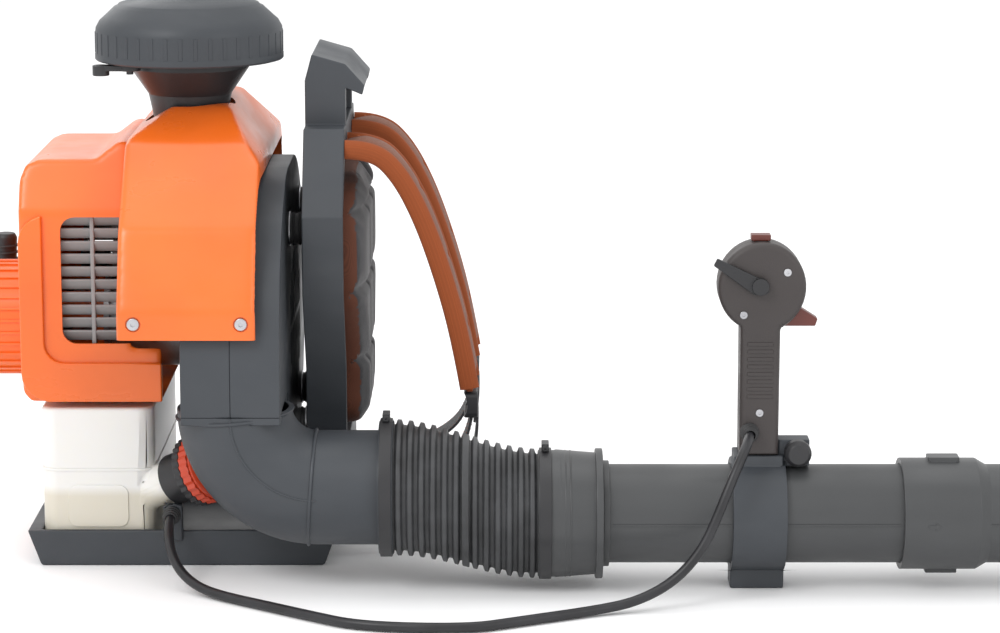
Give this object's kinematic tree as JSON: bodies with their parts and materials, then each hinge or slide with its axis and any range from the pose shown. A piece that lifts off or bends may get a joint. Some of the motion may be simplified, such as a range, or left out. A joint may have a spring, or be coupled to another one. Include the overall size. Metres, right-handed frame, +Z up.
{
  "type": "leaf blower",
  "caption": "Petrol backpack leaf blower on its base: fan and engine under an orange cover, padded straps, flexible hose and straight tube with an upright control handle.",
  "frame": {"origin": "on the floor, in the middle of the base's flat underside, below the crankshaft's axis", "axes": "+X away from the wearer's back, along the blower tube; +Y the wearer's left; +Z up"},
  "size_m": [1.348, 0.4647, 0.485],
  "materials": {
    "orange_shell": "moulded, semi-gloss",
    "dark_moulding": "fine-grained",
    "tube_plastic": "fine-grained, faint mould lines",
    "black_plastic": "satin",
    "tank_plastic": "translucent, milky",
    "red_plastic": "moulded",
    "rubber_black": "matt",
    "cable_sheath": "smooth",
    "pad_fabric": "woven over foam",
    "strap_fabric": "woven, padded, with orange binding",
    "cast_alloy": "as cast",
    "steel": "turned",
    "filter_paper": "pleated"
  },
  "bodies": {
    "root": {"air_filter_base": "dark_moulding", "back_pad": "pad_fabric", "backplate": "dark_moulding", "base_feet": "rubber_black", "base_frame": "dark_moulding", "bearings_and_seals": "steel", "carburettor": "cast_alloy", "crankcase_front": "cast_alloy", "crankcase_rear": "cast_alloy", "cylinder": "cast_alloy", "engine_cover": "orange_shell", "fan_housing_front": "dark_moulding", "fan_housing_rear": "dark_moulding", "filter_cover": "black_plastic", "filter_element": "filter_paper", "fuel_tank": "tank_plastic", "harness_webbing": "pad_fabric", "hose_clamp_rear": "steel", "hose_rear": "rubber_black", "housing_screws": "steel", "ignition_coil": "black_plastic", "intake_ducts": "rubber_black", "muffler": "steel", "outlet_elbow": "tube_plastic", "rear_cover": "orange_shell", "recoil_spring": "steel", "shoulder_strap_left": "strap_fabric", "shoulder_strap_right": "strap_fabric", "side_grilles": "dark_moulding", "spark_plug": "steel", "starter_housing": "orange_shell", "throttle_cable_rear": "cable_sheath", "vibration_mounts": "rubber_black"},
    "hose_middle": {"hose_middle_ring": "black_plastic", "hose_front": "rubber_black", "throttle_cable_middle": "cable_sheath"},
    "hose_cuff": {"swivel_cuff": "tube_plastic", "hose_clamp_front": "steel", "throttle_cable_front": "cable_sheath"},
    "blower_tube": {"swivel_pipe": "tube_plastic", "extension_pipe": "tube_plastic", "nozzle": "tube_plastic", "handle_clamp": "dark_moulding", "handle_left_shell": "black_plastic", "handle_right_shell": "black_plastic"},
    "crank": {"crankshaft": "steel", "flywheel": "cast_alloy", "fan_impeller": "dark_moulding"},
    "piston": {"piston": "cast_alloy", "connecting_rod": "steel"},
    "starter_pulley": {"starter_pulley": "black_plastic"},
    "starter_grip": {"starter_grip": "black_plastic"},
    "primer_bulb": {"primer_bulb": "tank_plastic"},
    "choke_lever": {"choke_lever": "black_plastic"},
    "fuel_cap": {"fuel_cap": "red_plastic"},
    "filter_knob": {"filter_knob": "black_plastic"},
    "trigger": {"trigger": "red_plastic"},
    "cruise_lever": {"cruise_lever": "black_plastic"},
    "stop_switch": {"stop_switch": "red_plastic"},
    "clamp_knob": {"clamp_knob": "black_plastic"}
  },
  "joints": [
    {"name": "hose_yaw", "type": "hinge", "parent": "root", "child": "hose_middle", "pos_m": [0.196, -0.165, 0.078], "axis": [0, 0, 1], "range_deg": [-35, 8], "deforming": ["hose_rear", "throttle_cable_rear"]},
    {"name": "hose_lift", "type": "hinge", "parent": "hose_middle", "child": "hose_cuff", "pos_m": [0.258, -0.165, 0.064], "axis": [0, -1, 0], "range_deg": [0, 35], "deforming": ["hose_front", "throttle_cable_middle"]},
    {"name": "tube_swivel", "type": "hinge", "parent": "hose_cuff", "child": "blower_tube", "pos_m": [0.335, -0.165, 0.06], "axis": [1, 0, 0], "range_deg": [-40, 40], "deforming": ["throttle_cable_front"]},
    {"name": "crank_spin", "type": "hinge", "parent": "root", "child": "crank", "pos_m": [0, 0, 0.193], "axis": [1, 0, 0], "continuous": true},
    {"name": "piston_stroke", "type": "slide", "parent": "root", "child": "piston", "axis": [0, 0, 1], "range_m": [-0.032, 0]},
    {"name": "starter_pull", "type": "slide", "parent": "root", "child": "starter_grip", "axis": [0, 1, 0], "range_m": [0, 0.6]},
    {"name": "pulley_spin", "type": "hinge", "parent": "root", "child": "starter_pulley", "pos_m": [-0.18, 0, 0.193], "axis": [1, 0, 0], "range_deg": [-1250, 0]},
    {"name": "primer_press", "type": "slide", "parent": "root", "child": "primer_bulb", "axis": [1, 0, 0], "range_m": [0, 0.003], "stiffness_N_per_m": 400},
    {"name": "choke_turn", "type": "hinge", "parent": "root", "child": "choke_lever", "pos_m": [-0.052, -0.075, 0.417], "axis": [0, 0, 1], "range_deg": [0, 45]},
    {"name": "fuel_cap_turn", "type": "hinge", "parent": "root", "child": "fuel_cap", "pos_m": [-0.002, -0.105, 0.08], "axis": [0.8096, -0.4298, 0.3998], "range_deg": [0, 360]},
    {"name": "filter_knob_turn", "type": "hinge", "parent": "root", "child": "filter_knob", "pos_m": [-0.006, -0.035, 0.48], "axis": [0, 0, 1], "range_deg": [0, 360]},
    {"name": "trigger_pull", "type": "hinge", "parent": "blower_tube", "child": "trigger", "pos_m": [0.478, -0.165, 0.236], "axis": [0, 1, 0], "range_deg": [0, 20], "stiffness_Nm_per_rad": 0.3, "springref_deg": -5.73},
    {"name": "cruise_turn", "type": "hinge", "parent": "blower_tube", "child": "cruise_lever", "pos_m": [0.465, -0.181, 0.253], "axis": [0, 1, 0], "range_deg": [0, 45]},
    {"name": "stop_slide", "type": "slide", "parent": "blower_tube", "child": "stop_switch", "axis": [1, 0, 0], "range_m": [0, 0.005]},
    {"name": "clamp_knob_turn", "type": "hinge", "parent": "blower_tube", "child": "clamp_knob", "pos_m": [0.498, -0.165, 0.114], "axis": [0, 1, 0], "range_deg": [0, 360]}
  ],
  "couplings": [
    {"joint": "pulley_spin", "follows": "starter_pull", "rad_per_m": -35.714}
  ]
}
